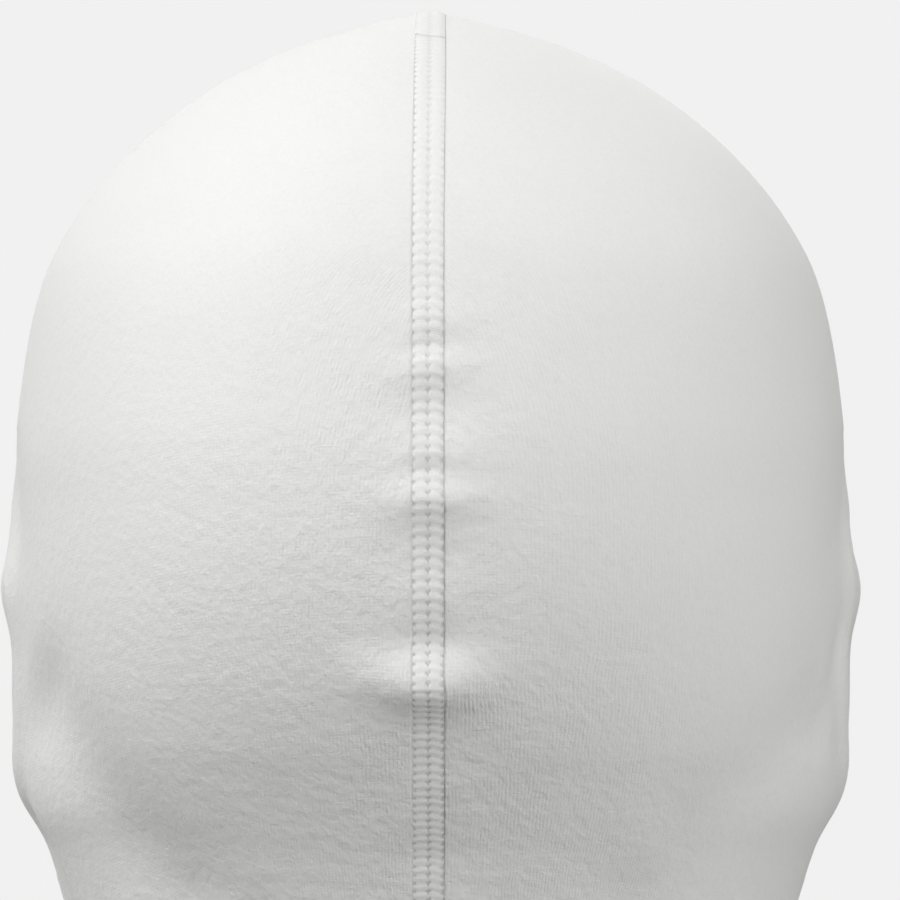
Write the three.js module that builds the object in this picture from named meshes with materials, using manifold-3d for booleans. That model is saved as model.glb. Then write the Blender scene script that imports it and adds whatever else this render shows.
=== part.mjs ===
// Flame resistant balaclava in its worn shape, in millimetres, face towards -Y
// The origin is at the inside top of the crown, where the seam crosses it

import * as THREE from 'three';
import { mergeVertices } from 'three/addons/utils/BufferGeometryUtils.js';
import Module from 'manifold-3d';

const wasm = await Module();
wasm.setup();

// Cloth
const clothWall = 1.4;
const pieceGap = 0.3;

// Head, measured over the cloth
const headBreadth = 158;        // at the temples
const headBack = 97.5;          // crown line to the back of the head
const headFront = 98.5;         // crown line to the brow
const faceReach = 106;          // crown line to the cloth over the mouth
const headHeight = 225;         // crown to the underside of the chin

// Neck and skirt, measured over the cloth
const neckBreadth = 126;
const neckBack = 59;
const neckFront = 62;
const neckLength = 147;         // chin to the bottom edge
const skirtBreadth = 152;
const skirtBack = 80;
const skirtFront = 86;

// Ears under the cloth
const earRise = 2.8;
const earHeight = 60;
const earDepth = 34;

// Puckers across the back seam
const foldRise = 1.5;
const foldHeight = 4.5;
const foldSpread = 18;

// Seams
const seamWidth = 5.6;
const seamProud = 0.4;          // outside and inside

// Face opening, its width measured round the face
const openingWidth = 128;
const openingHeight = 88;
const openingTop = 78;          // crown to its upper edge
const bindingWidth = 9;
const bindingProud = 0.5;       // outside and inside

// Bottom edge
const hemWidth = 20;
const hemProud = 0.4;           // outside and inside

// Fineness of the surface
const columnsPerSide = 18;
const columnCrowding = 1.25;    // above 1 draws the columns towards the back seam
const plainRow = 14;
const foldRow = 4.6;
const foldZone = { top: 60, bottom: 158 };
const outlineSteps = 36;
const stationSteps = 1200;
const arcSteps = 240;
const slope = 1e-4;             // step for a surface direction

// Sections of the skull: down as a share of headHeight, half of headBreadth / 2,
// back of headBack, front of headFront
const skullSections = [
  { down: 0, half: 0, back: 0, front: 0, square: 2 },
  { down: 0.0018, half: 0.043, back: 0.097, front: 0.091, square: 2 },
  { down: 0.0085, half: 0.13, back: 0.21, front: 0.198, square: 2 },
  { down: 0.028, half: 0.315, back: 0.39, front: 0.376, square: 2 },
  { down: 0.0636, half: 0.527, back: 0.585, front: 0.553, square: 2.02 },
  { down: 0.118, half: 0.723, back: 0.754, front: 0.721, square: 2.06 },
  { down: 0.181, half: 0.87, back: 0.872, front: 0.838, square: 2.1 },
  { down: 0.2445, half: 0.949, back: 0.938, front: 0.914, square: 2.14 },
  { down: 0.346, half: 0.996, back: 0.99, front: 0.975, square: 2.18 },
  { down: 0.422, half: 1, back: 1, front: 1, square: 2.2 },
];

// Sections of the face and jaw: the same columns, front of faceReach
const jawSections = [
  { down: 0.489, half: 1, back: 0.985, front: 0.943, square: 2.2 },
  { down: 0.556, half: 0.995, back: 0.944, front: 0.967, square: 2.18 },
  { down: 0.609, half: 0.99, back: 0.887, front: 0.986, square: 2.16 },
  { down: 0.64, half: 0.989, back: 0.841, front: 0.995, square: 2.14 },
  { down: 0.674, half: 0.972, back: 0.79, front: 1, square: 2.12 },
  { down: 0.71, half: 0.928, back: 0.738, front: 1, square: 2.1 },
  { down: 0.756, half: 0.885, back: 0.687, front: 0.991, square: 2.08 },
  { down: 0.822, half: 0.839, back: 0.641, front: 0.967, square: 2.05 },
  { down: 0.902, half: 0.81, back: 0.615, front: 0.92, square: 2.03 },
  { down: 0.969, half: 0.797, back: 0.608, front: 0.821, square: 2 },
];

// Sections of the neck: down as a share of neckLength below the chin,
// half of neckBreadth / 2, back of neckBack, front of neckFront
const neckSections = [
  { down: 0.048, half: 0.997, back: 1.003, front: 1.21, square: 2 },
  { down: 0.143, half: 1, back: 1.017, front: 1.065, square: 2 },
  { down: 0.265, half: 1.016, back: 1.05, front: 1, square: 2 },
];

// Sections of the skirt: down as a share of neckLength below the chin,
// half of skirtBreadth / 2, back of skirtBack, front of skirtFront
const skirtSections = [
  { down: 0.476, half: 0.882, back: 0.838, front: 0.767, square: 2 },
  { down: 0.728, half: 0.941, back: 0.919, front: 0.884, square: 2 },
  { down: 1, half: 1, back: 1, front: 1, square: 2 },
];

// Ear pads: down as a share of headHeight, behind of headBack, rise of earRise,
// tall of earHeight, deep of earDepth
const earPads = [
  { down: 0.487, behind: 0.08, rise: 1, tall: 0.14, deep: 0.5 },
  { down: 0.578, behind: 0.02, rise: 0.67, tall: 0.3, deep: 0.42 },
];

// Puckers at the back seam: down as a share of headHeight, rise of foldRise,
// tall of foldHeight, spread of foldSpread
const seamFolds = [
  { down: 0.293, rise: 0.25, tall: 0.7, spread: 0.5 },
  { down: 0.3155, rise: -0.35, tall: 0.9, spread: 0.65 },
  { down: 0.3555, rise: 0.25, tall: 1, spread: 0.55 },
  { down: 0.431, rise: -0.45, tall: 0.95, spread: 0.7 },
  { down: 0.4755, rise: 0.2, tall: 1.1, spread: 0.65 },
  { down: 0.5535, rise: 1, tall: 0.95, spread: 0.72 },
  { down: 0.594, rise: -0.85, tall: 1, spread: 1 },
  { down: 0.636, rise: 0.25, tall: 1.1, spread: 0.8 },
  { down: 0.68, rise: -0.3, tall: 1.1, spread: 0.9 },
];

const hoodHeight = headHeight + neckLength;
const crownTop = clothWall + seamProud;
const farOut = hoodHeight;      // reach of the cutting blocks, past every wall

// Real sections from the tables, from the crown down
function sectionsInMillimetres() {
  const groups = [
    { rows: skullSections, from: 0, tall: headHeight, half: headBreadth / 2, back: headBack, front: headFront },
    { rows: jawSections, from: 0, tall: headHeight, half: headBreadth / 2, back: headBack, front: faceReach },
    { rows: neckSections, from: headHeight, tall: neckLength, half: neckBreadth / 2, back: neckBack, front: neckFront },
    {
      rows: skirtSections,
      from: headHeight,
      tall: neckLength,
      half: skirtBreadth / 2,
      back: skirtBack,
      front: skirtFront,
    },
  ];
  return groups.flatMap((group) => group.rows.map((row) => ({
    down: group.from + row.down * group.tall,
    half: row.half * group.half,
    back: row.back * group.back,
    front: row.front * group.front,
    square: row.square,
  })));
}

const sections = sectionsInMillimetres();
const sideLine = new THREE.CatmullRomCurve3(
  sections.map((row) => new THREE.Vector3(row.half, row.back, row.down)), false, 'catmullrom');
const frontLine = new THREE.CatmullRomCurve3(
  sections.map((row) => new THREE.Vector3(row.front, row.square, row.down)), false, 'catmullrom');

// Height of a soft bump at a distance from its middle
function swell(distance, width) {
  return Math.exp(-((distance / width) ** 2));
}

function earLift(y, down) {
  let lift = 0;
  for (const pad of earPads) {
    const along = swell(down - pad.down * headHeight, pad.tall * earHeight);
    const across = swell(y - pad.behind * headBack, pad.deep * earDepth);
    lift += pad.rise * earRise * along * across;
  }
  return lift;
}

function foldLift(x, y, down) {
  if (y < 0) {
    return 0;
  }
  let lift = 0;
  for (const fold of seamFolds) {
    const along = swell(down - fold.down * headHeight, fold.tall * foldHeight);
    lift += fold.rise * foldRise * along * swell(x, fold.spread * foldSpread);
  }
  return lift;
}

// Outer face of the cloth at a station down the hood and an angle round it from the back
function clothPoint(station, angle) {
  const side = sideLine.getPoint(station);
  const front = frontLine.getPoint(station);
  const across = Math.sin(angle);
  const behind = Math.cos(angle);
  const reach = behind > 0 ? side.y : front.x;
  const power = front.y;
  const spanX = Math.max(side.x, slope);
  const spanY = Math.max(reach, slope);
  const sum = Math.abs(across / spanX) ** power + Math.abs(behind / spanY) ** power;
  const radius = sum ** (-1 / power);
  const lift = earLift(radius * behind, side.z) + foldLift(radius * across, radius * behind, side.z);
  const lifted = radius + lift;
  return new THREE.Vector3(lifted * across, lifted * behind, crownTop - side.z);
}

function clothNormal(station, angle) {
  if (station < slope) {
    return new THREE.Vector3(0, 0, 1);
  }
  const below = Math.min(station + slope, 1);
  const downwards = clothPoint(below, angle).sub(clothPoint(station - slope, angle));
  const round = clothPoint(station, angle + slope).sub(clothPoint(station, angle - slope));
  return round.cross(downwards).normalize();
}

// Stations of the rows, close together where the seam puckers
function rowStations() {
  const stations = [0];
  let run = 0;
  let last = sideLine.getPoint(0);
  for (let step = 1; step < stationSteps; step += 1) {
    const station = step / stationSteps;
    const here = sideLine.getPoint(station);
    run += here.distanceTo(last);
    last = here;
    const inFolds = here.z > foldZone.top && here.z < foldZone.bottom;
    if (run >= (inFolds ? foldRow : plainRow)) {
      stations.push(station);
      run = 0;
    }
  }
  stations.push(1);
  return stations;
}

const stations = rowStations();

function columnAngle(column) {
  const share = column <= columnsPerSide ? column : 2 * columnsPerSide - column;
  const turn = Math.PI * (share / columnsPerSide) ** columnCrowding;
  return column <= columnsPerSide ? -turn : turn;
}

function solidOf(geometry) {
  const bare = geometry.clone();
  bare.deleteAttribute('normal');
  bare.deleteAttribute('uv');
  const merged = mergeVertices(bare, slope);
  return new wasm.Manifold(new wasm.Mesh({
    numProp: 3,
    vertProperties: new Float32Array(merged.attributes.position.array),
    triVerts: new Uint32Array(merged.index.array),
  }));
}

// The whole hood as a filled form, its face moved out or in, closed below the bottom edge
function filledHood(offset) {
  const columns = 2 * columnsPerSide;
  const rows = stations.length + 1;
  const ball = new THREE.SphereGeometry(1, columns, rows);
  const places = ball.attributes.position;
  for (let index = 0; index < places.count; index += 1) {
    const column = index % (columns + 1);
    const row = Math.floor(index / (columns + 1));
    const station = stations[Math.min(row, stations.length - 1)];
    const angle = columnAngle(column);
    const place = clothPoint(station, angle).addScaledVector(clothNormal(station, angle), offset);
    if (row >= stations.length) {
      place.z = crownTop - hoodHeight - hemWidth;
    }
    if (row === 0 || row === rows) {
      place.x = 0;
      place.y = 0;
    }
    places.setXYZ(index, place.x, place.y, place.z);
  }
  return solidOf(ball);
}

// Cloth with its outer and inner faces moved by the same amount from the plain wall
function clothShell(proud) {
  return filledHood(proud).subtract(filledHood(-clothWall - proud));
}

function block(xFrom, xTo, yFrom, yTo, zFrom, zTo) {
  const box = new THREE.BoxGeometry(xTo - xFrom, yTo - yFrom, zTo - zFrom);
  box.translate((xFrom + xTo) / 2, (yFrom + yTo) / 2, (zFrom + zTo) / 2);
  return solidOf(box);
}

function stationAt(down) {
  let low = 0;
  let high = 1;
  while (high - low > slope / 2) {
    const middle = (low + high) / 2;
    if (sideLine.getPoint(middle).z < down) {
      low = middle;
    } else {
      high = middle;
    }
  }
  return (low + high) / 2;
}

// Sideways place of a point that lies some length round the cloth from the middle of the face
function sidewaysAt(length, down) {
  const station = stationAt(down);
  let left = length;
  let last = clothPoint(station, Math.PI);
  for (let step = 1; step <= arcSteps; step += 1) {
    const here = clothPoint(station, Math.PI * (1 - step / arcSteps));
    const span = here.distanceTo(last);
    if (span >= left) {
      return last.lerp(here, left / span).x;
    }
    left -= span;
    last = here;
  }
  return last.x;
}

// Block through the front of the hood with the opening's outline, moved outwards along the cloth
function openingBlock(margin) {
  const outline = [];
  const middle = openingTop + openingHeight / 2;
  for (let step = 0; step < outlineSteps; step += 1) {
    const turn = 2 * Math.PI * (step / outlineSteps);
    const length = (openingWidth / 2 + margin) * Math.cos(turn);
    const down = middle - (openingHeight / 2 + margin) * Math.sin(turn);
    const sideways = Math.sign(length) * sidewaysAt(Math.abs(length), down);
    outline.push(new THREE.Vector2(sideways, crownTop - down));
  }
  const geometry = new THREE.ExtrudeGeometry(new THREE.Shape(outline), { depth: farOut, bevelEnabled: false });
  geometry.rotateX(Math.PI / 2);
  return solidOf(geometry);
}

const hemBottom = crownTop - hoodHeight;
const hemTop = hemBottom + hemWidth;
const seamHalf = seamWidth / 2;
const openingMiddle = crownTop - openingTop - openingHeight / 2;
const boundOpening = openingBlock(bindingWidth + pieceGap);

// Each half of the hood, between the seams, the binding and the hem
function panels() {
  const cloth = clothShell(0).subtract(boundOpening);
  const edge = seamHalf + pieceGap;
  const floor = hemTop + pieceGap;
  return {
    left: cloth.intersect(block(edge, farOut, -farOut, farOut, floor, farOut)),
    right: cloth.intersect(block(-farOut, -edge, -farOut, farOut, floor, farOut)),
  };
}

// Flat seam in the middle, in one strip over the crown and one under the chin
function seams() {
  const strip = clothShell(seamProud)
    .intersect(block(-seamHalf, seamHalf, -farOut, farOut, hemTop + pieceGap, farOut))
    .subtract(boundOpening);
  const chinSide = block(-farOut, farOut, -farOut, 0, -farOut, openingMiddle);
  return { back: strip.subtract(chinSide), chin: strip.intersect(chinSide) };
}

function binding() {
  return clothShell(bindingProud).intersect(openingBlock(bindingWidth)).subtract(openingBlock(0));
}

function hem() {
  return clothShell(hemProud).intersect(block(-farOut, farOut, -farOut, farOut, hemBottom, hemTop));
}

function geometryOf(solid) {
  const mesh = solid.getMesh();
  const geometry = new THREE.BufferGeometry();
  geometry.setAttribute('position', new THREE.BufferAttribute(new Float32Array(mesh.vertProperties), 3));
  geometry.setIndex(new THREE.BufferAttribute(new Uint32Array(mesh.triVerts), 1));
  geometry.computeVertexNormals();
  return geometry;
}

const whiteJersey = { color: 0xe9e9e6, roughness: 0.95, metalness: 0 };
const whiteBand = { color: 0xe4e4e0, roughness: 0.92, metalness: 0 };
const whiteThread = { color: 0xf0f0ec, roughness: 0.8, metalness: 0 };

function piece(name, solid, finish) {
  const mesh = new THREE.Mesh(geometryOf(solid), new THREE.MeshStandardMaterial(finish));
  mesh.name = name;
  return mesh;
}

const halves = panels();
const strips = seams();
const balaclava = new THREE.Group();
balaclava.add(
  piece('panel_left', halves.left, whiteJersey),
  piece('panel_right', halves.right, whiteJersey),
  piece('back_seam', strips.back, whiteThread),
  piece('chin_seam', strips.chin, whiteThread),
  piece('face_binding', binding(), whiteBand),
  piece('neck_hem', hem(), whiteBand),
);

export default balaclava;
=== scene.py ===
import math
import random
from bisect import bisect_right

import bmesh
import bpy
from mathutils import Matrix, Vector, noise
from mathutils.bvhtree import BVHTree


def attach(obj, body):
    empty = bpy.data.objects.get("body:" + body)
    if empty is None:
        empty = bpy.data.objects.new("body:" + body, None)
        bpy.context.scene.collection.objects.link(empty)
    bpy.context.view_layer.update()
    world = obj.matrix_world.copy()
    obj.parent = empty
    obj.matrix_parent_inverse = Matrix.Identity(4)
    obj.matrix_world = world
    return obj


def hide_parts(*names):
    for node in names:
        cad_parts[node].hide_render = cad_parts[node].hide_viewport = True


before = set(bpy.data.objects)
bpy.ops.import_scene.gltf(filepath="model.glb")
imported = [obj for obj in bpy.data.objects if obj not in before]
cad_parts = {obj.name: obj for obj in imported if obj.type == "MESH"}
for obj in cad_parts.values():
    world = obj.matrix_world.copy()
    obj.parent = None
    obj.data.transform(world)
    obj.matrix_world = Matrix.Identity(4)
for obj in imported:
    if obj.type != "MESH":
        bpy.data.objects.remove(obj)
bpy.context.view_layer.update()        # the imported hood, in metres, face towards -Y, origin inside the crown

print("stage: frame loaded")

mm = 0.001
scene = bpy.context.scene

# Sizes of the hood in metres, the same as in the part's source
hood = {
    "wall": 1.4 * mm, "crownTop": 1.8 * mm,
    "headHalf": 79 * mm, "headBack": 97.5 * mm, "headFront": 98.5 * mm,
    "faceReach": 106 * mm, "headHeight": 225 * mm,
    "neckHalf": 63 * mm, "neckBack": 59 * mm, "neckFront": 62 * mm, "neckLength": 147 * mm,
    "skirtHalf": 76 * mm, "skirtBack": 80 * mm, "skirtFront": 86 * mm,
    "earRise": 2.8 * mm, "earHeight": 60 * mm, "earDepth": 34 * mm,
}
hoodHeight = hood["headHeight"] + hood["neckLength"]

# Sections from the crown down, as shares: down, half, back, front, square
skullSections = [
    (0, 0, 0, 0, 2), (.0018, .043, .097, .091, 2), (.0085, .13, .21, .198, 2),
    (.028, .315, .39, .376, 2), (.0636, .527, .585, .553, 2.02), (.118, .723, .754, .721, 2.06),
    (.181, .87, .872, .838, 2.1), (.2445, .949, .938, .914, 2.14), (.346, .996, .99, .975, 2.18),
    (.422, 1, 1, 1, 2.2),
]
jawSections = [
    (.489, 1, .985, .943, 2.2), (.556, .995, .944, .967, 2.18), (.609, .99, .887, .986, 2.16),
    (.64, .989, .841, .995, 2.14), (.674, .972, .79, 1, 2.12), (.71, .928, .738, 1, 2.1),
    (.756, .885, .687, .991, 2.08), (.822, .839, .641, .967, 2.05), (.902, .81, .615, .92, 2.03),
    (.969, .797, .608, .821, 2),
]
neckSections = [(.048, .997, 1.003, 1.21, 2), (.143, 1, 1.017, 1.065, 2), (.265, 1.016, 1.05, 1, 2)]
skirtSections = [(.476, .882, .838, .767, 2), (.728, .941, .919, .884, 2), (1, 1, 1, 1, 2)]

# Swellings at the sides: down, behind, rise, tall and deep, as shares of the hood's sizes
earPads = [(.487, .08, 1, .14, .5), (.578, .02, .67, .3, .42)]

# Puckers across the back seam in mm: down, rise, tall, spread to the left and right, lean, bend
seamFolds = [
    (59.4, .75, 3.6, 6, 8, 0, 0), (64.2, -.4, 1.7, 5, 6.5, .1, 0), (68.2, .65, 2.8, 6.5, 7, 0, 0),
    (75.9, -.75, 3.8, 8.5, 8.5, 0, 0), (84.6, .45, 2.6, 8, 9, 0, 0), (86.5, -.35, 1.2, 3.5, 4, .1, 0),
    (92.3, 1.6, 3.4, 8.5, 9, 0, 0), (102.5, -.6, 4.5, 10, 9, 0, 0), (111, .2, 3.5, 9, 6, 0, 0),
    (118.6, -1, 2.8, 7, 6.5, 0, 0), (126, 4.3, 5.1, 11, 10, 0, -.006), (139, -.4, 4.5, 9, 11, 0, 0),
    (145, .2, 3, 8, 8, 0, 0), (157.8, -.7, 4, 6, 7, 0, 0), (172, .4, 5, 10, 10, 0, 0),
    (188, -.3, 5, 10, 10, 0, 0),
]

# Long soft pulls in the cloth: side, angle from the back and down at each end, rise, width
drapes = [
    (1, 66, 124, 38, 174, -2.9, 14), (1, 32, 164, 32, 225, -1.6, 13), (1, 86, 150, 74, 190, -1.2, 7),
    (-1, 66, 128, 34, 158, -1.2, 11), (-1, 34, 160, 33, 225, -1.8, 13),
    (-1, 80, 104, 64, 141, -.6, 5),
]
# Mean radius of the hood in mm, which turns angles into lengths round it
meanRadius = 78

# C-shaped rim in the swelling at each side
ear = {
    "down": 121 * mm, "behind": 3 * mm, "tall": 27 * mm, "deep": 14.5 * mm, "tilt": .2,
    "rim": .75 * mm, "rimWidth": .2, "hollow": .5 * mm, "hollowWidth": .6,
    "outer": .4, "outerAt": 1.45, "outerWidth": .25, "openTo": -1.1, "joinedFrom": -.2,
    "aside": 55 * mm, "from": 80 * mm, "to": 165 * mm,
}

# Soft unevenness of stretched knit: size of the waves and their height
unevenness = [(34 * mm, .30 * mm), (13 * mm, .06 * mm)]
gathers = {"size": 4.6 * mm, "rise": .16 * mm, "reach": 8 * mm}
skirtWave = {"from": .24, "rise": 1.1 * mm, "count": 5}


def sectionsInMetres():
    groups = [
        (skullSections, 0, "headHeight", "headHalf", "headBack", "headFront"),
        (jawSections, 0, "headHeight", "headHalf", "headBack", "faceReach"),
        (neckSections, hood["headHeight"], "neckLength", "neckHalf", "neckBack", "neckFront"),
        (skirtSections, hood["headHeight"], "neckLength", "skirtHalf", "skirtBack", "skirtFront"),
    ]
    rows = []
    for table, start, tall, half, back, front in groups:
        for down, across, behind, ahead, square in table:
            rows.append((start + down * hood[tall], across * hood[half], behind * hood[back],
                         ahead * hood[front], square))
    return rows


sections = sectionsInMetres()


# One section of the hood, on a smooth line through the table
def lineAt(station):
    place = min(max(station, 0), 1) * (len(sections) - 1)
    index = min(int(place), len(sections) - 2)
    t = place - index
    b, c = sections[index], sections[index + 1]
    a = sections[index - 1] if index else [2 * p - q for p, q in zip(b, c)]
    last = index + 2 >= len(sections)
    d = [2 * q - p for p, q in zip(b, c)] if last else sections[index + 2]
    line = []
    for p, q, r, s in zip(a, b, c, d):
        into, out = (r - p) / 2, (s - q) / 2
        line.append(q + into * t + (3 * (r - q) - 2 * into - out) * t ** 2
                    + (2 * (q - r) + into + out) * t ** 3)
    return line


tableSteps = 1600
tableLines = [lineAt(step / tableSteps) for step in range(tableSteps + 1)]
tableDowns = [line[0] for line in tableLines]


def stationAt(down):
    index = min(max(bisect_right(tableDowns, down) - 1, 0), tableSteps - 1)
    span = tableDowns[index + 1] - tableDowns[index]
    return (index + (down - tableDowns[index]) / span) / tableSteps


def runsFromCrown(column):
    runs = [0]
    for upper, lower in zip(tableLines, tableLines[1:]):
        runs.append(runs[-1] + math.hypot(lower[0] - upper[0], lower[column] - upper[column]))
    return runs


sideRuns = runsFromCrown(1)
backRuns = runsFromCrown(2)


def runAt(runs, station):
    place = min(max(station, 0), 1) * tableSteps
    index = min(int(place), tableSteps - 1)
    return runs[index] + (place - index) * (runs[index + 1] - runs[index])


def swell(distance, width):
    return math.exp(-(distance / width) ** 2)


def easeBetween(low, high, value):
    share = min(max((value - low) / (high - low), 0), 1)
    return share * share * (3 - 2 * share)


# Stretched cloth without its puckers
def plainSpot(line, angle):
    down, half, back, front, square = line
    across, behind = math.sin(angle), math.cos(angle)
    reach = back if behind > 0 else front
    total = (abs(across) / max(half, 1e-7)) ** square + (abs(behind) / max(reach, 1e-7)) ** square
    radius = total ** (-1 / square)
    y = radius * behind
    for padDown, padBehind, rise, tall, deep in earPads:
        away = (down - padDown * hood["headHeight"]) / (tall * hood["earHeight"])
        if abs(away) < 3.5:
            radius += (rise * hood["earRise"] * math.exp(-away * away)
                       * swell(y - padBehind * hood["headBack"], deep * hood["earDepth"]))
    return Vector((radius * across, radius * behind, hood["crownTop"] - down))


def foldRise(x, down):
    total = 0
    for place, rise, tall, left, right, lean, bend in seamFolds:
        away = down / mm - place - lean * x / mm - bend * (x / mm) ** 2
        if abs(away) < 3 * tall:
            total += rise * math.exp(-(away / tall) ** 2) * swell(x / mm, left if x > 0 else right)
    return total * mm


def drapeRise(angle, down):
    total = 0
    for side, angleFrom, downFrom, angleTo, downTo, rise, width in drapes:
        if side * angle < 0:
            continue
        start = Vector((math.radians(angleFrom) * meanRadius, downFrom))
        run = Vector((math.radians(angleTo) * meanRadius, downTo)) - start
        here = Vector((abs(angle) * meanRadius, down / mm)) - start
        along = here.dot(run) / run.length_squared
        away = (here - run * min(max(along, 0), 1)).length
        total += rise * swell(away, width) * (1 - easeBetween(.7, 1.15, abs(2 * along - 1)))
    return total * mm


def earRimRise(y, down):
    behind, below = y - ear["behind"], down - ear["down"]
    turnedBehind = behind * math.cos(ear["tilt"]) + below * math.sin(ear["tilt"])
    turnedBelow = below * math.cos(ear["tilt"]) - behind * math.sin(ear["tilt"])
    ring = math.hypot(turnedBehind / ear["deep"], turnedBelow / ear["tall"])
    if ring > 2:
        return 0
    joined = easeBetween(ear["openTo"], ear["joinedFrom"], turnedBehind / ear["deep"])
    rim = ear["rim"] * swell(ring - 1, ear["rimWidth"]) * joined
    outer = ear["outer"] * ear["rim"] * swell(ring - ear["outerAt"], ear["outerWidth"]) * joined
    return rim - ear["hollow"] * swell(ring, ear["hollowWidth"]) - outer


# How far the cloth stands off its plain form
def reliefAt(spot, angle, down):
    x, y, z = spot
    rise = foldRise(x, down) if y > 0 else 0
    rise += drapeRise(angle, down)
    if abs(x) > ear["aside"] and ear["from"] < down < ear["to"]:
        rise += earRimRise(y, down)
    if abs(x) < 3 * gathers["reach"]:
        bare = Vector((.25 * x, y, z)) / gathers["size"]
        rise += gathers["rise"] * noise.noise(bare) * swell(x, gathers["reach"])
    for size, height in unevenness:
        rise += height * noise.noise(spot / size) * easeBetween(0, 6 * mm, down)
    low = easeBetween(skirtWave["from"], hoodHeight, down)
    rise += low * skirtWave["rise"] * math.sin(skirtWave["count"] * angle + 1.1)
    return rise


# Small step along the sections and round them, to find directions by
tinyStep = 2e-4


# A row holds a section and its close neighbours above and below
def rowAt(station):
    return lineAt(station), lineAt(station - tinyStep), lineAt(station + tinyStep), station


# Outer face of the cloth and its outward direction
def clothSpot(row, angle):
    line, above, below, station = row
    spot = plainSpot(line, angle)
    if station < 1e-4:
        outwards = Vector((0, 0, 1))
    else:
        around = plainSpot(line, angle + tinyStep) - plainSpot(line, angle - tinyStep)
        outwards = around.cross(plainSpot(below, angle) - plainSpot(above, angle)).normalized()
    return spot + outwards * reliefAt(spot, angle, line[0]), outwards


fineness = {
    "columns": 160, "row": 2.4 * mm, "closeRow": 1.1 * mm, "closeFrom": 55 * mm, "closeTo": 172 * mm,
    "crownRow": 1.6 * mm, "crownTo": 12 * mm, "draw": .5,
}


def rowStations():
    found = [0]
    lastRun = 0
    for step in range(1, tableSteps):
        down = tableDowns[step]
        gap = fineness["row"]
        if fineness["closeFrom"] < down < fineness["closeTo"]:
            gap = fineness["closeRow"]
        elif down < fineness["crownTo"]:
            gap = fineness["crownRow"]
        if backRuns[step] - lastRun >= gap:
            found.append(step / tableSteps)
            lastRun = backRuns[step]
    return found + [1]


stations = rowStations()


# Columns lie closer together at both seams than at the sides
def columnShare(share):
    return share - fineness["draw"] * math.sin(2 * math.pi * share) / (2 * math.pi)


keptLayers = ("mapAcross", "mapAlong", "arc", "down")


# A flat grid with the column and row of each point, ready to be laid on the hood
def newGrid(columns, rows):
    grid = bmesh.new()
    bmesh.ops.create_grid(grid, x_segments=columns, y_segments=rows, size=1)
    layers = [grid.verts.layers.float.new(name) for name in keptLayers]
    places = [(vert, round((vert.co.x + 1) / 2 * columns), round((vert.co.y + 1) / 2 * rows))
              for vert in grid.verts]
    return grid, places, layers


# Writes the cloth map, in mm along the knit, from the points to the face corners
def writeMap(grid):
    layer = grid.loops.layers.uv.new("clothMap")
    across, along = (grid.verts.layers.float[name] for name in keptLayers[:2])
    for face in grid.faces:
        for loop in face.loops:
            loop[layer].uv = (loop.vert[across], loop.vert[along])
    for name in keptLayers:
        grid.verts.layers.float.remove(grid.verts.layers.float[name])


def makePiece(name, grid, material, nodes):
    mesh = bpy.data.meshes.new(name)
    grid.to_mesh(mesh)
    grid.free()
    mesh.shade_smooth()
    mesh.materials.append(material)
    piece = bpy.data.objects.new(name, mesh)
    scene.collection.objects.link(piece)
    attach(piece, "root")
    if nodes:
        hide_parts(*nodes)
    return piece


# Node tools for the materials
def addNode(tree, kind, values=None, **settings):
    node = tree.nodes.new(kind)
    for key, value in settings.items():
        setattr(node, key, value)
    for socket, value in (values or {}).items():
        if isinstance(value, bpy.types.NodeSocket):
            tree.links.new(value, node.inputs[socket])
        else:
            node.inputs[socket].default_value = value
    return node


def sumOf(tree, operation, first, second=0.0, third=0.0):
    return addNode(tree, "ShaderNodeMath", {0: first, 1: second, 2: third},
                   operation=operation).outputs[0]


def newMaterial(name, finish):
    material = bpy.data.materials.new(name)
    material.use_nodes = True
    shader = material.node_tree.nodes["Principled BSDF"]
    shader.inputs["Roughness"].default_value = finish["roughness"]
    shader.inputs["Specular IOR Level"].default_value = finish["specular"]
    shader.inputs["Sheen Weight"].default_value = finish["sheen"]
    shader.inputs["Sheen Roughness"].default_value = finish["sheenRoughness"]
    return material, material.node_tree, shader


# The darker second colour is what painted shade in the knit's grooves and random tone from the grain and
# streaks mix the cloth towards
jersey = {
    "colour": (.80, .80, .785), "paintedShadeAndTone": (.74, .74, .725), "roughness": .95, "specular": .2,
    "sheen": .25, "sheenRoughness": .5, "wale": .8, "course": .58, "wander": .16,
    "rib": .038 * mm, "streak": .1 * mm, "dash": .045 * mm, "grain": .06 * mm, "mottle": .34 * mm,
    "relief": (.5, 1.35), "slack": (1.3, .6), "slackFrom": 10 * mm, "slackTo": 60 * mm,
    "driftSize": 7 * mm, "jitterSize": 1.1 * mm, "patchSize": 9 * mm, "grainSize": .62 * mm,
    "mottleSize": 2.3 * mm, "vee": 1.1, "streakScale": (2.1, .6, 1), "dashScale": (.55, 2.2, 1),
}
band = dict(jersey, colour=(.79, .79, .775), wale=.7, course=.6, rib=.06 * mm, mottle=.2 * mm)
# The thread's darker colour is for painted shade in the needle holes and at the end of the layer over the
# crown, mixed with random tone in the thread
thread = {
    "colour": (.82, .82, .805), "paintedShadeAndTone": (.55, .55, .54), "roughness": .92, "specular": .2,
    "sheen": .25, "sheenRoughness": .45, "strand": .02 * mm, "strands": 5, "fuzz": .1 * mm,
    "fuzzSize": .5 * mm, "holeShade": (.3, 1.1), "creaseAt": -3.7 * mm, "creaseSlant": -.12,
    "creaseInner": .08 * mm, "creaseOuter": .34 * mm, "creaseShade": .5,
}
# Heights between which the surface goes from drawn tight to slack, and the painted shade in the seam's needle
# holes goes from light to deep
tightLightShadeLevel, slackDeepShadeLevel = -30 * mm, -140 * mm


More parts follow.
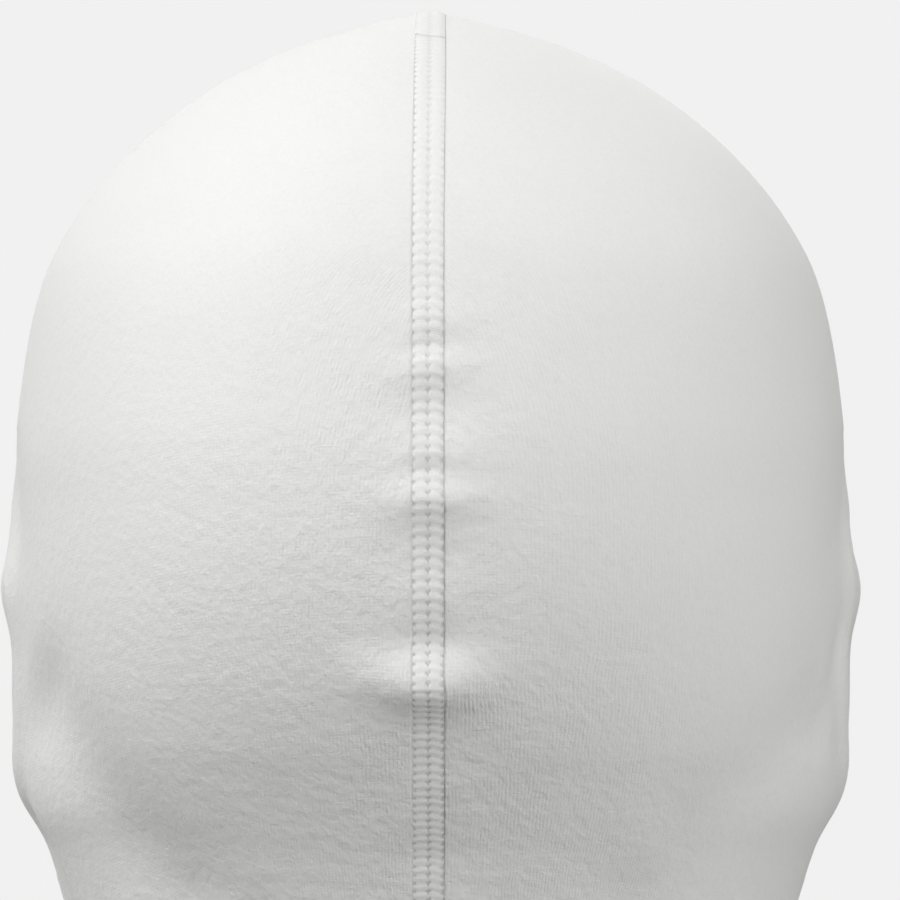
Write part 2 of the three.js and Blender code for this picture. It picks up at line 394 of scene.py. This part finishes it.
def noiseOf(tree, coordinates, size, detail=2.0):
    return addNode(tree, "ShaderNodeTexNoise",
                   {"Vector": coordinates, "Scale": 1 / size, "Detail": detail}).outputs["Fac"]


# Noise drawn out along or across the knit
def noiseAlong(tree, clothMap, scale):
    drawn = addNode(tree, "ShaderNodeMapping", {0: clothMap, 3: scale}, vector_type="POINT").outputs[0]
    return noiseOf(tree, drawn, 1.0)


# Passes from the first strength to the last while the value goes from start to end
def rangeOf(tree, value, start, end, strengths):
    first, last = strengths
    return addNode(tree, "ShaderNodeMapRange",
                   {0: value, 1: start, 2: end, 3: first, 4: last}).outputs[0]


# The knit is smoothest where it is drawn tight over the crown and fuller towards the nape; over the same
# heights the painted shade in the seam's needle holes deepens, as the light falls
def strengthAt(tree, place, strengths):
    high = addNode(tree, "ShaderNodeSeparateXYZ", {0: place}).outputs[2]
    return rangeOf(tree, high, tightLightShadeLevel, slackDeepShadeLevel, strengths)


# Bump from a height in metres
def addBump(tree, shader, height):
    bump = addNode(tree, "ShaderNodeBump", {"Height": height, "Distance": 1.0, "Strength": 1.0})
    tree.links.new(bump.outputs[0], shader.inputs["Normal"])


# Mixes the cloth's colour towards its darker colour, for painted shade and random tone: the lower the share,
# the darker
def addShade(tree, shader, share, finish):
    mix = addNode(tree, "ShaderNodeMix", {0: share, 6: (*finish["paintedShadeAndTone"], 1),
                                          7: (*finish["colour"], 1)}, data_type="RGBA")
    tree.links.new(mix.outputs[2], shader.inputs["Base Color"])


# Fine jersey: faint columns of V loops along the cloth map, with soft streaks and grain, and painted shade in
# the grooves between the loops
def knitMaterial(name, finish):
    material, tree, shader = newMaterial(name, finish)
    place = addNode(tree, "ShaderNodeTexCoord").outputs["Object"]
    clothMap = addNode(tree, "ShaderNodeUVMap", uv_map="clothMap").outputs[0]
    parts = addNode(tree, "ShaderNodeSeparateXYZ", {0: clothMap}).outputs
    drift = sumOf(tree, "SUBTRACT", noiseOf(tree, place, finish["driftSize"]), .5)
    jitter = sumOf(tree, "SUBTRACT", noiseOf(tree, place, finish["jitterSize"], 1.0), .5)
    wales = sumOf(tree, "MULTIPLY", parts[0], 1 / finish["wale"])
    wales = sumOf(tree, "MULTIPLY_ADD", drift, 6 * finish["wander"], wales)
    wales = sumOf(tree, "MULTIPLY_ADD", jitter, 4 * finish["wander"], wales)
    off = sumOf(tree, "ABSOLUTE", sumOf(tree, "SUBTRACT", sumOf(tree, "FRACT", wales), .5))
    rib = sumOf(tree, "COSINE", sumOf(tree, "MULTIPLY", off, math.pi))
    courses = sumOf(tree, "MULTIPLY", parts[1], 1 / finish["course"])
    courses = sumOf(tree, "MULTIPLY_ADD", off, finish["vee"], courses)
    loops = sumOf(tree, "SINE", sumOf(tree, "MULTIPLY", courses, 2 * math.pi))
    loops = sumOf(tree, "MULTIPLY", sumOf(tree, "MULTIPLY_ADD", loops, .25, .75), rib)
    patch = rangeOf(tree, noiseOf(tree, place, finish["patchSize"]), .35, .65, (.3, 1.5))
    streaks = noiseAlong(tree, clothMap, finish["streakScale"])
    dashes = noiseAlong(tree, clothMap, finish["dashScale"])
    grain = noiseOf(tree, place, finish["grainSize"])
    mottle = noiseOf(tree, place, finish["mottleSize"])
    relief = sumOf(tree, "MULTIPLY", sumOf(tree, "MULTIPLY", loops, patch), finish["rib"])
    relief = sumOf(tree, "MULTIPLY_ADD", streaks, finish["streak"], relief)
    relief = sumOf(tree, "MULTIPLY_ADD", dashes, finish["dash"], relief)
    relief = sumOf(tree, "MULTIPLY_ADD", grain, finish["grain"], relief)
    relief = sumOf(tree, "MULTIPLY_ADD", mottle, finish["mottle"], relief)
    # drawn tight at the sides too, so the relief fades there
    aside = sumOf(tree, "ABSOLUTE", addNode(tree, "ShaderNodeSeparateXYZ", {0: place}).outputs[0])
    slack = rangeOf(tree, aside, finish["slackFrom"], finish["slackTo"], finish["slack"])
    strength = sumOf(tree, "MULTIPLY", slack, strengthAt(tree, place, finish["relief"]))
    addBump(tree, shader, sumOf(tree, "MULTIPLY", relief, strength))
    # painted shade in the grooves between the knit's loops, with random tone from the grain and streaks
    shade = sumOf(tree, "MULTIPLY_ADD", loops, .3, sumOf(tree, "MULTIPLY", grain, .9))
    shade = sumOf(tree, "MULTIPLY_ADD", streaks, .4, sumOf(tree, "SUBTRACT", shade, .1))
    addShade(tree, shader, shade, finish)
    return material


# Soft textured thread, its fine strands running along each bar
def threadMaterial(name, finish):
    material, tree, shader = newMaterial(name, finish)
    place = addNode(tree, "ShaderNodeTexCoord").outputs["Object"]
    clothMap = addNode(tree, "ShaderNodeUVMap", uv_map="clothMap").outputs[0]
    across, along, _ = addNode(tree, "ShaderNodeSeparateXYZ", {0: clothMap}).outputs
    fuzz = noiseOf(tree, place, finish["fuzzSize"], 3.0)
    strands = sumOf(tree, "MULTIPLY_ADD", fuzz, .25, along)
    strands = sumOf(tree, "SINE", sumOf(tree, "MULTIPLY", strands, 2 * math.pi * finish["strands"]))
    relief = sumOf(tree, "MULTIPLY", strands, finish["strand"] / 2)
    addBump(tree, shader, sumOf(tree, "MULTIPLY_ADD", fuzz, finish["fuzz"], relief))
    # painted shade in the needle holes in the gaps between bars, lighter over the crown and deeper towards the
    # nape
    lines = sumOf(tree, "COSINE", sumOf(tree, "MULTIPLY", across, 2 * math.pi))
    gaps = sumOf(tree, "COSINE", sumOf(tree, "MULTIPLY_ADD", along, 2 * math.pi, math.pi))
    holes = sumOf(tree, "MULTIPLY", sumOf(tree, "MAXIMUM", lines, 0.0), sumOf(tree, "MAXIMUM", gaps, 0.0))
    holes = sumOf(tree, "MULTIPLY", holes, strengthAt(tree, place, finish["holeShade"]))
    light = sumOf(tree, "SUBTRACT", sumOf(tree, "MULTIPLY_ADD", fuzz, .3, .75), holes)
    # painted shade in a thin line where the smooth layer over the crown ends, behind the top
    aside, behind, high = addNode(tree, "ShaderNodeSeparateXYZ", {0: place}).outputs
    slanted = sumOf(tree, "MULTIPLY_ADD", aside, finish["creaseSlant"], high)
    away = sumOf(tree, "ABSOLUTE", sumOf(tree, "SUBTRACT", slanted, finish["creaseAt"]))
    crease = rangeOf(tree, away, finish["creaseInner"], finish["creaseOuter"], (finish["creaseShade"], 0.0))
    crease = sumOf(tree, "MULTIPLY", crease, sumOf(tree, "GREATER_THAN", behind, 0.0))
    addShade(tree, shader, sumOf(tree, "SUBTRACT", light, crease), finish)
    return material


jerseyKnit = knitMaterial("jerseyKnit", jersey)
bandKnit = knitMaterial("bandKnit", band)
seamThread = threadMaterial("seamThread", thread)
print("stage: materials made")

# Face opening, measured along the cloth, and the band folded over its edge
opening = {
    "width": 128 * mm, "height": 88 * mm, "top": 78 * mm, "band": 9 * mm, "proud": .5 * mm,
    "tuck": 4.5 * mm, "stitches": (1.9 * mm, 7.4 * mm), "steps": 300, "around": 360 * mm,
    "above": 14 * mm, "levels": 118,
}
openingMiddle = opening["top"] + opening["height"] / 2
arcAngles = [math.pi * step / 180 for step in range(181)]


# Lengths round the cloth from the middle of the front to the back, at one height
def arcRowAt(down):
    line = lineAt(stationAt(down))
    spots = [plainSpot(line, math.pi - angle) for angle in arcAngles]
    arcs = [0]
    for last, here in zip(spots, spots[1:]):
        arcs.append(arcs[-1] + (here - last).length)
    return arcs


arcStart = opening["top"] - opening["above"]
arcRows = [arcRowAt(arcStart + step * mm) for step in range(opening["levels"])]


# Angle of a point that lies some length round the cloth from the middle of the front
def angleAtArc(arc, down):
    place = min(max((down - arcStart) / mm, 0), len(arcRows) - 1.001)
    upper, share = int(place), place - int(place)
    found = []
    for arcs in (arcRows[upper], arcRows[upper + 1]):
        index = min(bisect_right(arcs, abs(arc)) - 1, len(arcs) - 2)
        part = (abs(arc) - arcs[index]) / (arcs[index + 1] - arcs[index])
        found.append(arcAngles[index] + part * (arcAngles[index + 1] - arcAngles[index]))
    angle = math.pi - (found[0] + share * (found[1] - found[0]))
    return math.copysign(angle, arc)


def openingSpot(turn, margin):
    arc = (opening["width"] / 2 + margin) * math.cos(turn)
    down = openingMiddle - (opening["height"] / 2 + margin) * math.sin(turn)
    return clothSpot(rowAt(stationAt(down)), angleAtArc(arc, down))


# Halves of the hood, each sunk a little beside the seams, more so on the right
panel = {
    "edge": 2.72 * mm, "hemTuck": 5 * mm, "hemWidth": 20 * mm, "waleLevel": 100 * mm,
    "sunkLeft": .02 * mm, "sunkRight": .14 * mm, "sunkWidth": 1.7 * mm, "seamShift": .33 * mm,
    "shiftFrom": 5 * mm, "shiftTo": 50 * mm, "backFrom": .2, "backTo": .3,
    "overFrom": 12 * mm, "overTo": 60 * mm,
}
panelBottom = hoodHeight - panel["hemWidth"] + panel["hemTuck"]


# Below the crown the back seam runs slightly beside the middle, towards +X
def seamShift(down):
    aside = easeBetween(panel["shiftFrom"], panel["shiftTo"], down)
    return panel["seamShift"] * aside * (1 - easeBetween(panel["backFrom"], panel["backTo"], down))


# Angle where a section passes the edge of the seam, near the back or near the front
def edgeAngle(line, distance, front):
    angle = 0
    for _ in range(4):
        spot = plainSpot(line, math.pi - angle if front else angle)
        angle = math.asin(min(distance / max(math.hypot(spot.x, spot.y), distance), 1))
    return math.pi - angle if front else angle


def panelStations():
    first = next(step for step, line in enumerate(tableLines) if line[1] > panel["edge"])
    start = first / tableSteps
    last = stationAt(panelBottom)
    return [start] + [s for s in stations if start + 2e-3 < s < last - 1e-3] + [last]


def makePanel(side, name, node):
    rows = panelStations()
    columns = fineness["columns"]
    grid, places, (across, along, arcLayer, downLayer) = newGrid(columns, len(rows) - 1)
    byRow = [[] for _ in rows]
    for vert, column, row in places:
        byRow[row].append((column, vert))
    quarters = {}
    for station, verts in zip(rows, byRow):
        row = rowAt(station)
        down = row[0][0]
        low = edgeAngle(row[0], panel["edge"] + side * seamShift(down), False)
        high = edgeAngle(row[0], panel["edge"], True)
        over = 1 - easeBetween(panel["overFrom"], panel["overTo"], down)
        length, last, sideLength, marks = 0, None, None, []
        for column, vert in sorted(verts, key=lambda pair: pair[0]):
            angle = low + (high - low) * columnShare(column / columns)
            spot, outwards = clothSpot(row, side * angle)
            gap = (spot - last).length if last else 0
            last = spot.copy()
            sunk = panel["sunkLeft" if side > 0 else "sunkRight"]
            vert.co = spot - outwards * sunk * swell(length + gap, panel["sunkWidth"])
            if sideLength is None and angle >= math.pi / 2:
                before = marks[-1][1] if marks else angle - 1
                sideLength = length + gap * (math.pi / 2 - before) / max(angle - before, 1e-9)
            length += gap
            marks.append((vert, angle, length))
        # below the widest level the wales keep beside both seams and draw closer together
        if down < panel["waleLevel"] or not quarters:
            quarters["back"], quarters["front"] = sideLength, length - sideLength
        tight = {key: reach / max(now, mm) for (key, reach), now in
                 zip(quarters.items(), (sideLength, length - sideLength))}
        for vert, angle, reached in marks:
            behind, aside = math.cos(angle), math.sin(angle)
            fromSide = (sideLength - reached) * tight["back" if reached < sideLength else "front"]
            run = runAt(backRuns, station) * behind ** 2 + runAt(sideRuns, station) * aside ** 2
            vert[across] = (over * run * behind + (1 - over) * fromSide) / mm
            vert[along] = (over * run * aside + (1 - over) * run) / mm
            vert[arcLayer], vert[downLayer] = length - reached + panel["edge"], down
    # the face opening is cut out and the cut edge laid on its oval, under the band
    half, tall = opening["width"] / 2 + opening["tuck"], opening["height"] / 2 + opening["tuck"]
    away = {v: math.hypot(v[arcLayer] / half, (v[downLayer] - openingMiddle) / tall) for v in grid.verts}
    inside = [v for v, share in away.items() if share < .985]
    bmesh.ops.delete(grid, geom=inside, context="VERTS")
    for vert in grid.verts:
        share = math.hypot(vert[arcLayer] / half, (vert[downLayer] - openingMiddle) / tall)
        nearFace = share < 1.3 and vert.is_boundary and abs(vert.co.x) > panel["edge"] + .2 * mm
        if nearFace or (share < 1.08 and vert.is_boundary):
            down = openingMiddle + (vert[downLayer] - openingMiddle) / share
            arc = max(vert[arcLayer] / share, panel["edge"])
            vert.co, _ = clothSpot(rowAt(stationAt(down)), side * angleAtArc(arc, down))
    bmesh.ops.remove_doubles(grid, verts=grid.verts, dist=.02 * mm)
    outwards = sum(face.normal.x * face.calc_center_median().x for face in grid.faces)
    if outwards < 0:
        bmesh.ops.reverse_faces(grid, faces=grid.faces)
    writeMap(grid)
    piece = makePiece(name, grid, jerseyKnit, [node])
    wall = piece.modifiers.new("wall", "SOLIDIFY")
    wall.thickness = hood["wall"]
    wall.offset = -1
    return piece


panelLeft = makePanel(1, "panel_left_cloth", "panel_left")
panelRight = makePanel(-1, "panel_right_cloth", "panel_right")
print("stage: panels laid")


# The whole outer face, to lay the seams on
def makeBed():
    columns = 2 * fineness["columns"]
    grid, places, _ = newGrid(columns, len(stations) - 1)
    rows = [rowAt(station) for station in stations]
    for vert, column, row in places:
        share = 2 * column / columns - 1
        vert.co, _ = clothSpot(rows[row], math.copysign(math.pi * columnShare(abs(share)), share))
    bed = BVHTree.FromBMesh(grid)
    grid.free()
    return bed


bed = makeBed()
print("stage: bed for the seams made")

# Flat seam: three needle lines with rounded bars of thread between them over two cloth edges
seam = {
    "half": 2.72 * mm, "edge": 2.86 * mm, "lift": .06 * mm, "hump": .1 * mm, "bar": .13 * mm,
    "hole": .26 * mm, "holeWide": .34 * mm, "holeTall": .36 * mm, "under": .35 * mm, "uneven": .5,
    "step": .24 * mm, "tuck": 3 * mm, "slantLeft": .10, "slantRight": -.30,
}
# Over the crown a smooth layer covers the bars, and it ends in a low step with a crease
crownTab = {"from": -14 * mm, "to": 37.6 * mm, "flat": .85, "rise": .34 * mm, "step": 1.4 * mm,
            "crease": .1 * mm, "creaseWidth": .6 * mm, "creasePast": .5 * mm, "lean": -.55,
            "slope": 1.1 * mm, "sloped": .85, "fade": 4 * mm}
# Length of a stitch along the back seam in mm: down, length
stitchLengths = [
    (0, 2.1), (50, 2.2), (85, 2.15), (110, 2.0), (130, 1.85), (160, 1.7), (200, 1.9), (372, 1.9),
]
stitchAhead = 2.1 * mm
# A point inside the hood that every seam faces away from
hoodMiddle = Vector((0, 0, -.11))


# Middle line of a seam, with its outward direction and the length run so far
def seamPath(first, last, front):
    count = max(int(abs(last - first) * tableSteps), 2)
    spots = []
    for step in range(count + 1):
        place = first + (last - first) * step / count
        angle = math.pi if (place < 0 or front) else 0
        spots.append((clothSpot(rowAt(abs(place)), angle)[0], abs(lineAt(abs(place))[0]), place < 0))
    path = []
    run = 0
    for index, (spot, down, ahead) in enumerate(spots):
        before, after = spots[max(index - 2, 0)][0], spots[min(index + 2, count)][0]
        if index:
            run += (spot - spots[index - 1][0]).length
        along = (after - before).normalized()
        outwards = Vector((0, along.z, -along.y))
        if outwards.dot(spot - hoodMiddle) < 0:
            outwards.negate()
        path.append({"spot": spot, "run": run, "out": outwards, "down": down, "ahead": ahead})
    return path


def pathAt(path, runs, run):
    index = min(max(bisect_right(runs, run) - 1, 0), len(path) - 2)
    here, after = path[index], path[index + 1]
    share = (run - here["run"]) / (after["run"] - here["run"])
    return (here["spot"].lerp(after["spot"], share), here["out"].lerp(after["out"], share).normalized(),
            here["down"] + share * (after["down"] - here["down"]), here["ahead"])


# A point over the seam: run along it, offset to the side, height above the cloth
def seamSpot(path, runs, run, offset, height):
    middle, outwards, _, _ = pathAt(path, runs, run)
    start = middle + Vector((offset, 0, 0)) + outwards * 6 * mm
    hit = bed.ray_cast(start, -outwards, 12 * mm)[0]
    return (hit or middle + Vector((offset, 0, 0))) + outwards * height


def stitchLengthAt(down, ahead):
    if ahead:
        return stitchAhead
    below = bisect_right([row[0] for row in stitchLengths], down / mm)
    index = min(max(below - 1, 0), len(stitchLengths) - 2)
    (top, upper), (bottom, lower) = stitchLengths[index], stitchLengths[index + 1]
    return (upper + (lower - upper) * (down / mm - top) / (bottom - top)) * mm


# Places of the stitches along a seam
def stitchRuns(path, runs, start, end):
    found = [start]
    while found[-1] < end:
        _, _, down, ahead = pathAt(path, runs, found[-1])
        found.append(found[-1] + stitchLengthAt(down, ahead))
    return found[:-1]


# Stitches counted along a seam, a whole number at each bar
def stitchCount(stitches, run):
    index = min(max(bisect_right(stitches, run) - 1, 0), len(stitches) - 2)
    pitch = stitches[index + 1] - stitches[index]
    return index + (run - stitches[index]) / pitch, pitch


# Height of the thread over the cloth: rounded bars in two columns and the needle holes between
def threadHeight(offset, run, fromCrown, stitches):
    slant = seam["slantLeft"] if offset > 0 else seam["slantRight"]
    middle = math.copysign(seam["half"] / 2, offset)
    count, _ = stitchCount(stitches, run - slant * (offset - middle))
    straight, pitch = stitchCount(stitches, run)
    hump = max(math.sin(math.pi * min(abs(offset) / seam["half"], 1)), 0)
    plump = 1 + seam["uneven"] * noise.noise(Vector((math.copysign(3, offset), round(count) * .7, 0)))
    bar = plump * (.5 + .5 * math.cos(2 * math.pi * count))
    past = fromCrown - crownTab["to"] - crownTab["lean"] * offset
    tab = (easeBetween(crownTab["from"] - crownTab["fade"], crownTab["from"], fromCrown)
           * (1 - easeBetween(-crownTab["step"], 0, past)))
    calm = 1 - crownTab["flat"] * tab
    height = seam["lift"] + seam["hump"] * hump + calm * seam["bar"] * hump ** .6 * bar
    sloped = crownTab["sloped"] * easeBetween(seam["half"] - crownTab["slope"], seam["half"], -offset)
    height += tab * crownTab["rise"] * (1 - sloped)
    gap = (straight - math.floor(straight) - .5) * pitch
    for line in (-seam["half"], 0, seam["half"]):
        height -= (calm * seam["hole"] * swell(offset - line, seam["holeWide"])
                   * swell(gap, seam["holeTall"]))
    crease = crownTab["crease"] * swell(past - crownTab["creasePast"], crownTab["creaseWidth"])
    return height - crease, count


def seamProfile():
    top = [(seam["half"] * step / 10, None) for step in range(-10, 11)]
    deep = -hood["wall"]
    under = [(seam["half"] * step / 4, deep - seam["under"] * (.5 + .5 * math.sin(math.pi * step / 4) ** 2))
             for step in range(4, -5, -1)]
    edge = seam["edge"]
    side = [(edge, .01 * mm), (edge - .2 * mm, -.3 * mm), (edge - .25 * mm, deep + .1 * mm)]
    return ([(-edge, .01 * mm)] + top + side + under + [(-x, height) for x, height in reversed(side[1:])])


def makeSeam(name, node, first, last, front):
    path = seamPath(first, last, front)
    runs = [row["run"] for row in path]
    crownRun = max(path, key=lambda row: row["spot"].z)["run"] if not front else -1
    stitches = stitchRuns(path, runs, 0, runs[-1])
    profile = seamProfile()
    steps = int(runs[-1] / seam["step"])
    grid, places, (across, along, *_) = newGrid(steps, len(profile))
    for vert, step, corner in places:
        offset, height = profile[corner % len(profile)]
        run = runs[-1] * step / steps
        rise, count = threadHeight(offset, run, run - crownRun, stitches)
        _, _, down, ahead = pathAt(path, runs, run)
        aside = 0 if front or ahead else seamShift(down)
        vert.co = seamSpot(path, runs, run, offset + aside, rise if height is None else height)
        vert[across], vert[along] = offset / seam["half"], count
    bmesh.ops.remove_doubles(grid, verts=grid.verts, dist=.002 * mm)
    ends = [edge for edge in grid.edges if edge.is_boundary]
    bmesh.ops.holes_fill(grid, edges=ends, sides=0)
    bmesh.ops.recalc_face_normals(grid, faces=grid.faces)
    writeMap(grid)
    return makePiece(name, grid, seamThread, [node])


openingUpper = stationAt(opening["top"] - opening["band"] + seam["tuck"])
openingLower = stationAt(opening["top"] + opening["height"] + opening["band"] - seam["tuck"])
seamBottom = stationAt(hoodHeight - panel["hemWidth"] + seam["tuck"])
backSeam = makeSeam("back_seam_sewn", "back_seam", -openingUpper, seamBottom, False)
chinSeam = makeSeam("chin_seam_sewn", "chin_seam", openingLower, seamBottom, True)
print("stage: seams sewn")


# Section of a band folded over a cloth edge: margin from its fold, height over the cloth
def foldedProfile(width, proud, stitches):
    wall = hood["wall"]
    radius = wall / 2 + proud
    margins = sorted({radius + (width - radius - .4 * mm) * step / 10 for step in range(11)}
                     | {row + shift * mm for row in stitches for shift in (-.7, -.35, 0, .35, .7)})
    top = []
    for margin in margins:
        if radius <= margin <= width - .3 * mm:
            dip = sum(.16 * mm * swell(margin - row, .45 * mm) for row in stitches)
            top.append((margin, proud - dip))
    turns = [math.pi * step / 10 for step in range(1, 10)]
    fold = [(radius - radius * math.sin(turn), -wall / 2 + radius * math.cos(turn)) for turn in turns]
    rim = [(width, .04 * mm), (width - .02 * mm, .6 * proud), (width - .12 * mm, .9 * proud)]
    inner = radius - .1 * mm
    cavity = [(width, -wall - .04 * mm), (inner + .3 * mm, -wall - .04 * mm), (inner - .25 * mm, -wall / 2),
              (inner + .3 * mm, .04 * mm)]
    mirrored = [(margin, -wall - height) for margin, height in reversed(top)]
    innerRim = [(margin, -wall - height) for margin, height in reversed(rim[1:])]
    return rim + list(reversed(top)) + fold + mirrored + innerRim + cavity


# The seam under a band lifts it
seamUnder = {"rise": .45 * mm, "half": 3.3 * mm}


def seamUnderBand(x):
    return seamUnder["rise"] * math.exp(-(x / seamUnder["half"]) ** 4)


def makeBand(name, node, spotAt, steps, profile, closedAlong):
    grid, places, (across, along, *_) = newGrid(steps, len(profile))
    known = {}
    for vert, step, corner in places:
        margin, height = profile[corner % len(profile)]
        key = (step % steps, round(margin / mm, 4))
        if key not in known:
            known[key] = spotAt(2 * math.pi * key[0] / steps, margin)
        spot, outwards = known[key]
        middle = -hood["wall"] / 2
        raised = seamUnderBand(spot.x) * min(max((height - middle) / abs(middle), -1), 1)
        vert.co = spot + outwards * (height + raised)
        vert[across] = step * closedAlong / steps / mm
        vert[along] = margin / mm
    bmesh.ops.remove_doubles(grid, verts=grid.verts, dist=.002 * mm)
    bmesh.ops.recalc_face_normals(grid, faces=grid.faces)
    writeMap(grid)
    return makePiece(name, grid, bandKnit, [node])


# A row of short stitches sunk in a band
def makeStitches(name, spotAt, rows, proud, perimeter, stitch):
    chance = random.Random(11)
    bead = bmesh.new()
    bmesh.ops.create_uvsphere(bead, u_segments=8, v_segments=6, radius=1)
    mesh = bpy.data.meshes.new(name)
    whole = bmesh.new()
    count = int(perimeter / stitch["pitch"])
    for margin in rows:
        for index in range(count):
            turn = 2 * math.pi * (index + chance.uniform(-stitch["uneven"], stitch["uneven"])) / count
            spot, outwards = spotAt(turn, margin)
            ahead = (spotAt(turn + .01, margin)[0] - spot).normalized()
            aside = outwards.cross(ahead)
            lift = proud - stitch["sunk"] + seamUnderBand(spot.x)
            copy = bead.copy()
            for vert in copy.verts:
                x, y, z = vert.co
                sag = stitch["sag"] * z * z
                vert.co = (spot + ahead * z * stitch["half"] + aside * x * stitch["width"]
                           + outwards * (lift + y * stitch["height"] - sag))
            bmesh.ops.recalc_face_normals(copy, faces=copy.faces)
            copy.to_mesh(mesh)
            whole.from_mesh(mesh)
            copy.free()
    bead.free()
    bpy.data.meshes.remove(mesh)
    return makePiece(name, whole, seamThread, None)


bandStitch = {
    "pitch": 2.5 * mm, "half": 1.0 * mm, "width": .2 * mm, "height": .16 * mm,
    "uneven": .06, "sunk": .13 * mm, "sag": .12 * mm,
}
faceProfile = foldedProfile(opening["band"], opening["proud"], opening["stitches"])
faceBand = makeBand("face_band", "face_binding", openingSpot, opening["steps"], faceProfile,
                    opening["around"])
faceStitches = makeStitches("face_band_stitches", openingSpot, opening["stitches"], opening["proud"],
                            opening["around"], bandStitch)

hem = {
    "width": 20 * mm, "proud": .45 * mm, "stitches": (15.2 * mm, 18.4 * mm), "steps": 330,
    "around": 500 * mm,
}


def hemSpot(turn, margin):
    return clothSpot(rowAt(stationAt(hoodHeight - margin)), math.atan2(math.sin(turn), math.cos(turn)))


hemProfile = foldedProfile(hem["width"], hem["proud"], hem["stitches"])
hemBand = makeBand("hem_band", "neck_hem", hemSpot, hem["steps"], hemProfile, hem["around"])
hemStitches = makeStitches("hem_band_stitches", hemSpot, hem["stitches"], hem["proud"],
                           hem["around"], bandStitch)
print("stage: bands folded and stitched")

studio = {
    "distance": 2.2, "aimX": -.0037, "aimZ": -.0815, "frameWidth": .1719, "backdrop": .879,
    "floorRadius": 2.6, "floorZ": -.3712, "floorFrom": .6, "floorTo": 1.4, "skyUp": .63, "skyAll": .035,
}
# Soft round lamps: place, width, power
lamps = {
    "high": ((.5, .5, 2.1), 1, 7.2), "highLeft": ((1.1, .3, 1.9), 1, 5.6),
    "upperLeft": ((1.3, .9, 1.5), 1.2, 12.6), "sideLeft": ((2, .8, .1), 1.2, 9.3),
    "farLeft": ((2.2, -.3, .6), 1, 3.4), "lowLeft": ((1.9, .3, -.5), 1.2, 6.0),
    "behind": ((0, 2.4, .1), .8, 10.3), "behindRight": ((-1.2, 2, .15), .8, 12.6),
    "sideRight": ((-1.9, -.2, .1), .8, 2.4), "lowRight": ((-1.9, .9, -.6), 1.2, 11.0),
    "front": ((0, -2.2, 1.1), 1.4, 16),
}
lampAim = (0, 0, -.1)


def makeCamera():
    lens = bpy.data.cameras.new("camera")
    lens.sensor_width = 36
    lens.lens = 36 * studio["distance"] / studio["frameWidth"]
    camera = bpy.data.objects.new("camera", lens)
    camera.location = (studio["aimX"], studio["distance"], studio["aimZ"])
    camera.rotation_euler = (math.pi / 2, 0, math.pi)
    scene.collection.objects.link(camera)
    scene.camera = camera


def makeFloor():
    disc = bmesh.new()
    bmesh.ops.create_circle(disc, cap_ends=True, segments=128, radius=studio["floorRadius"])
    bmesh.ops.translate(disc, verts=disc.verts, vec=(0, 0, studio["floorZ"]))
    mesh = bpy.data.meshes.new("floor")
    disc.to_mesh(mesh)
    disc.free()
    material, tree, shader = newMaterial("paleFloor", dict(jersey, sheen=0))
    shader.inputs["Base Color"].default_value = (.8, .8, .79, 1)
    # away from the hood the floor passes into the backdrop
    place = addNode(tree, "ShaderNodeTexCoord").outputs["Object"]
    away = addNode(tree, "ShaderNodeVectorMath", {0: place}, operation="LENGTH").outputs["Value"]
    share = addNode(tree, "ShaderNodeMapRange", {0: away, 1: studio["floorFrom"], 2: studio["floorTo"]},
                    interpolation_type="SMOOTHSTEP").outputs[0]
    glow = addNode(tree, "ShaderNodeEmission", {"Color": (1, 1, 1, 1), "Strength": studio["backdrop"]})
    mix = addNode(tree, "ShaderNodeMixShader", {0: share, 1: shader.outputs[0], 2: glow.outputs[0]})
    tree.links.new(mix.outputs[0], tree.nodes["Material Output"].inputs[0])
    mesh.materials.append(material)
    floor = bpy.data.objects.new("floor", mesh)
    # the soft light comes up from below too, so the floor neither blocks it nor adds to it
    floor.visible_diffuse = False
    floor.visible_shadow = False
    scene.collection.objects.link(floor)


def addLight(name, place, aim, size, power):
    lamp = bpy.data.lights.new(name, "AREA")
    lamp.shape = "DISK"
    lamp.size = size
    lamp.energy = power
    light = bpy.data.objects.new(name, lamp)
    light.location = place
    light.rotation_euler = (Vector(place) - Vector(aim)).to_track_quat("Z", "Y").to_euler()
    scene.collection.objects.link(light)


# Soft light from above, with a plain pale backdrop for the camera
def makeWorld():
    world = bpy.data.worlds.new("studio")
    world.use_nodes = True
    scene.world = world
    tree = world.node_tree
    tree.nodes.clear()
    ray = addNode(tree, "ShaderNodeLightPath").outputs["Is Camera Ray"]
    way = addNode(tree, "ShaderNodeTexCoord").outputs["Generated"]
    high = addNode(tree, "ShaderNodeSeparateXYZ", {0: way}).outputs[2]
    glow = sumOf(tree, "MULTIPLY_ADD", sumOf(tree, "MAXIMUM", high), studio["skyUp"], studio["skyAll"])
    value = addNode(tree, "ShaderNodeMix", {0: ray, 2: glow, 3: studio["backdrop"]}).outputs[0]
    shade = addNode(tree, "ShaderNodeBackground", {"Color": (1, 1, 1, 1), "Strength": value})
    output = addNode(tree, "ShaderNodeOutputWorld")
    tree.links.new(shade.outputs[0], output.inputs[0])


makeCamera()
makeFloor()
makeWorld()
for name, (place, size, power) in lamps.items():
    addLight(name, place, lampAim, size, power)
scene.view_settings.view_transform = "Standard"
print("stage: studio set")
